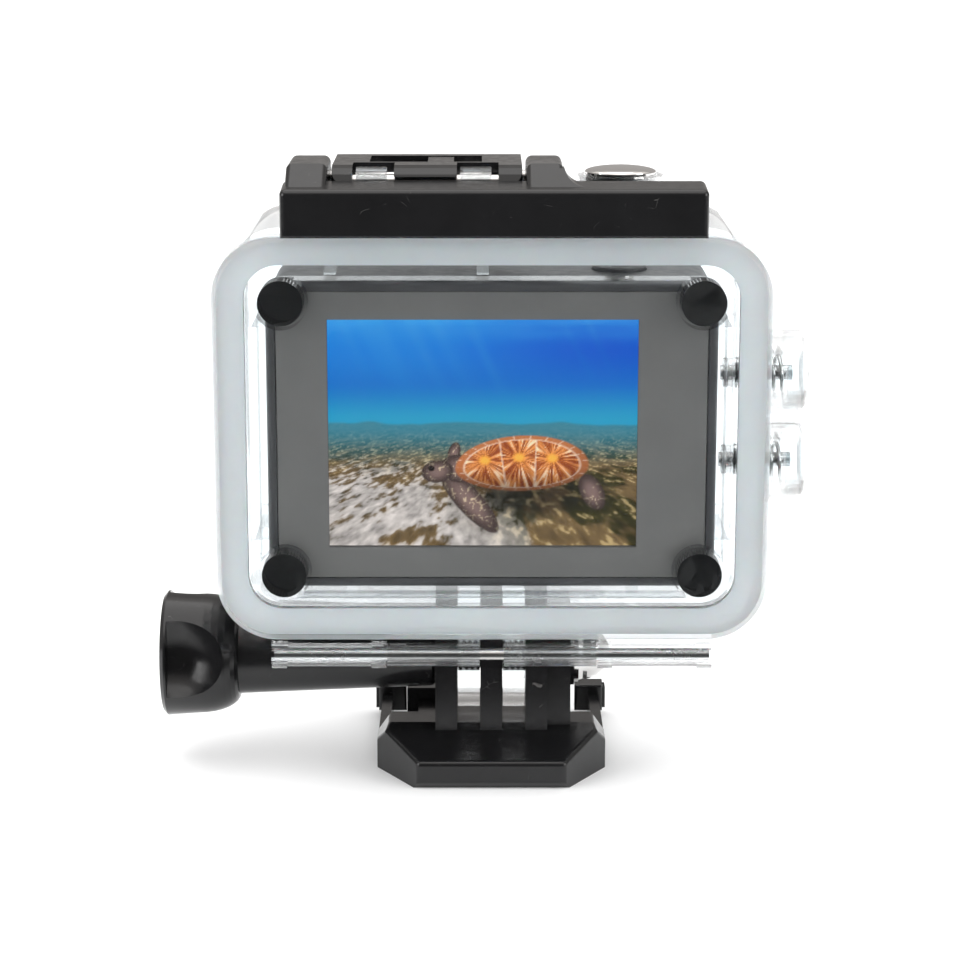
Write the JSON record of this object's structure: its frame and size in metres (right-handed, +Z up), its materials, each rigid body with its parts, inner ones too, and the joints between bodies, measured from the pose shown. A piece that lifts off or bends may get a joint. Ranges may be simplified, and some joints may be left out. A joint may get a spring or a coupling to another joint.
{
  "type": "action camera in dive housing",
  "caption": "Action camera in a clear dive housing with hinged rear door, over-centre latch, push buttons and a tilting quick-release buckle mount.",
  "frame": {"origin": "on the buckle's flat underside, straight below the thumb screw's axis, in the middle plane of the three buckle fingers", "axes": "+X to the right seen from the screen side, +Y towards the lens, +Z up out of the buckle"},
  "size_m": [0.0882, 0.0421, 0.0849],
  "materials": {
    "black_gloss": "polished black moulding",
    "chrome": "polished chrome",
    "steel": "turned stainless steel",
    "clear_shell": "clear polycarbonate, polished",
    "clear_cap": "clear polycarbonate, polished",
    "white_silicone": "translucent white silicone",
    "black_rubber": "matt moulded rubber",
    "port_glass": "coated optical glass",
    "camera_shell": "satin charcoal plastic",
    "camera_panel": "smoked glossy panel",
    "screen": "lit display",
    "black_metal": "black anodised",
    "circuit_board": "solder mask",
    "cell_wrap": "printed sleeve, plain",
    "black_plastic": "moulded"
  },
  "bodies": {
    "buckle": {"buckle": "black_gloss", "clamp_nut": "chrome"},
    "arm_left": {"buckle_arm_left": "black_gloss"},
    "arm_right": {"buckle_arm_right": "black_gloss"},
    "thumb_screw": {"screw_rod": "steel", "screw_knob": "black_gloss"},
    "case": {"case_shell": "clear_shell", "port_gasket": "black_rubber", "port_glass": "port_glass", "port_ring": "black_metal", "port_screws": "steel", "hinge_pin": "steel", "latch_pivot_pin": "steel", "camera_front_cover": "camera_shell", "camera_rear_cover": "camera_shell", "screen_window": "camera_panel", "lcd_panel": "screen", "battery_door": "camera_shell", "cover_screws": "steel", "lens_trim_ring": "black_metal", "lens_barrel": "black_metal", "lens_glass": "port_glass", "main_board": "circuit_board", "sensor_board": "circuit_board", "battery": "cell_wrap", "memory_card": "black_plastic", "speaker": "black_plastic", "shutter_spring": "steel", "down_spring": "steel", "up_spring": "steel", "power_spring": "steel", "shutter_seal": "black_rubber", "down_seal": "black_rubber", "up_seal": "black_rubber", "power_seal": "black_rubber"},
    "door": {"rear_door": "clear_shell", "door_gasket": "white_silicone", "door_pads": "black_rubber"},
    "lever": {"latch_lever": "black_gloss", "bar_pin": "steel"},
    "bar": {"latch_bar": "black_gloss"},
    "lock": {"lock_slider": "black_gloss"},
    "shutter_plunger": {"shutter_cap": "chrome", "shutter_stem": "steel", "shutter_clip": "steel"},
    "shutter_key": {"camera_shutter_key": "camera_shell"},
    "down_plunger": {"down_cap": "clear_cap", "down_stem": "steel", "down_clip": "steel"},
    "down_key": {"camera_down_key": "camera_shell"},
    "up_plunger": {"up_cap": "clear_cap", "up_stem": "steel", "up_clip": "steel"},
    "up_key": {"camera_up_key": "camera_shell"},
    "power_plunger": {"power_cap": "clear_cap", "power_stem": "steel", "power_clip": "steel"},
    "power_key": {"camera_power_key": "camera_shell"}
  },
  "joints": [
    {"name": "tilt", "type": "hinge", "parent": "buckle", "child": "case", "pos_m": [0, 0, 0.015], "axis": [-1, 0, 0], "range_deg": [-35, 50]},
    {"name": "thumb_screw_turn", "type": "hinge", "parent": "buckle", "child": "thumb_screw", "pos_m": [-0.02, 0, 0.015], "axis": [1, 0, 0], "continuous": true},
    {"name": "arm_left_squeeze", "type": "hinge", "parent": "buckle", "child": "arm_left", "pos_m": [-0.01505, 0.0001, 0.00185], "axis": [0, 0, -1], "range_deg": [0, 5], "stiffness_Nm_per_rad": 0.4},
    {"name": "arm_right_squeeze", "type": "hinge", "parent": "buckle", "child": "arm_right", "pos_m": [0.01505, 0.0001, 0.00185], "axis": [0, 0, 1], "range_deg": [0, 5], "stiffness_Nm_per_rad": 0.4},
    {"name": "latch_lever_turn", "type": "hinge", "parent": "case", "child": "lever", "pos_m": [-0.0084, -0.0119, 0.0822], "axis": [1, 0, 0], "range_deg": [0, 95]},
    {"name": "latch_bar_turn", "type": "hinge", "parent": "lever", "child": "bar", "pos_m": [-0.0084, -0.0065, 0.0822], "axis": [1, 0, 0], "range_deg": [-152.5, 0]},
    {"name": "door_swing", "type": "hinge", "parent": "case", "child": "door", "pos_m": [0, -0.017, 0.0198], "axis": [1, 0, 0], "range_deg": [0, 92.5]},
    {"name": "lock_slide", "type": "slide", "parent": "lever", "child": "lock", "axis": [1, 0, 0], "range_m": [0, 0.0025]},
    {"name": "shutter_press", "type": "slide", "parent": "case", "child": "shutter_plunger", "axis": [0, 0, -1], "range_m": [0, 0.0012], "stiffness_N_per_m": 800, "springref_m": -0.001, "deforming": ["shutter_spring"]},
    {"name": "shutter_key_press", "type": "slide", "parent": "case", "child": "shutter_key", "axis": [0, 0, -1], "range_m": [0, 0.0006]},
    {"name": "down_press", "type": "slide", "parent": "case", "child": "down_plunger", "axis": [-1, 0, 0], "range_m": [0, 0.0012], "stiffness_N_per_m": 800, "springref_m": -0.001, "deforming": ["down_spring"]},
    {"name": "down_key_press", "type": "slide", "parent": "case", "child": "down_key", "axis": [-1, 0, 0], "range_m": [0, 0.0006]},
    {"name": "up_press", "type": "slide", "parent": "case", "child": "up_plunger", "axis": [-1, 0, 0], "range_m": [0, 0.0012], "stiffness_N_per_m": 800, "springref_m": -0.001, "deforming": ["up_spring"]},
    {"name": "up_key_press", "type": "slide", "parent": "case", "child": "up_key", "axis": [-1, 0, 0], "range_m": [0, 0.0006]},
    {"name": "power_press", "type": "slide", "parent": "case", "child": "power_plunger", "axis": [0, -1, 0], "range_m": [0, 0.0012], "stiffness_N_per_m": 800, "springref_m": -0.001, "deforming": ["power_spring"]},
    {"name": "power_key_press", "type": "slide", "parent": "case", "child": "power_key", "axis": [0, -1, 0], "range_m": [0, 0.0006]}
  ],
  "couplings": [
    {"joint": "latch_bar_turn", "follows": "latch_lever_turn", "ratio": -1.6},
    {"joint": "door_swing", "follows": "latch_lever_turn", "ratio": 0.97},
    {"joint": "shutter_key_press", "follows": "shutter_press", "ratio": 0.5},
    {"joint": "down_key_press", "follows": "down_press", "ratio": 0.5},
    {"joint": "up_key_press", "follows": "up_press", "ratio": 0.5},
    {"joint": "power_key_press", "follows": "power_press", "ratio": 0.5}
  ]
}
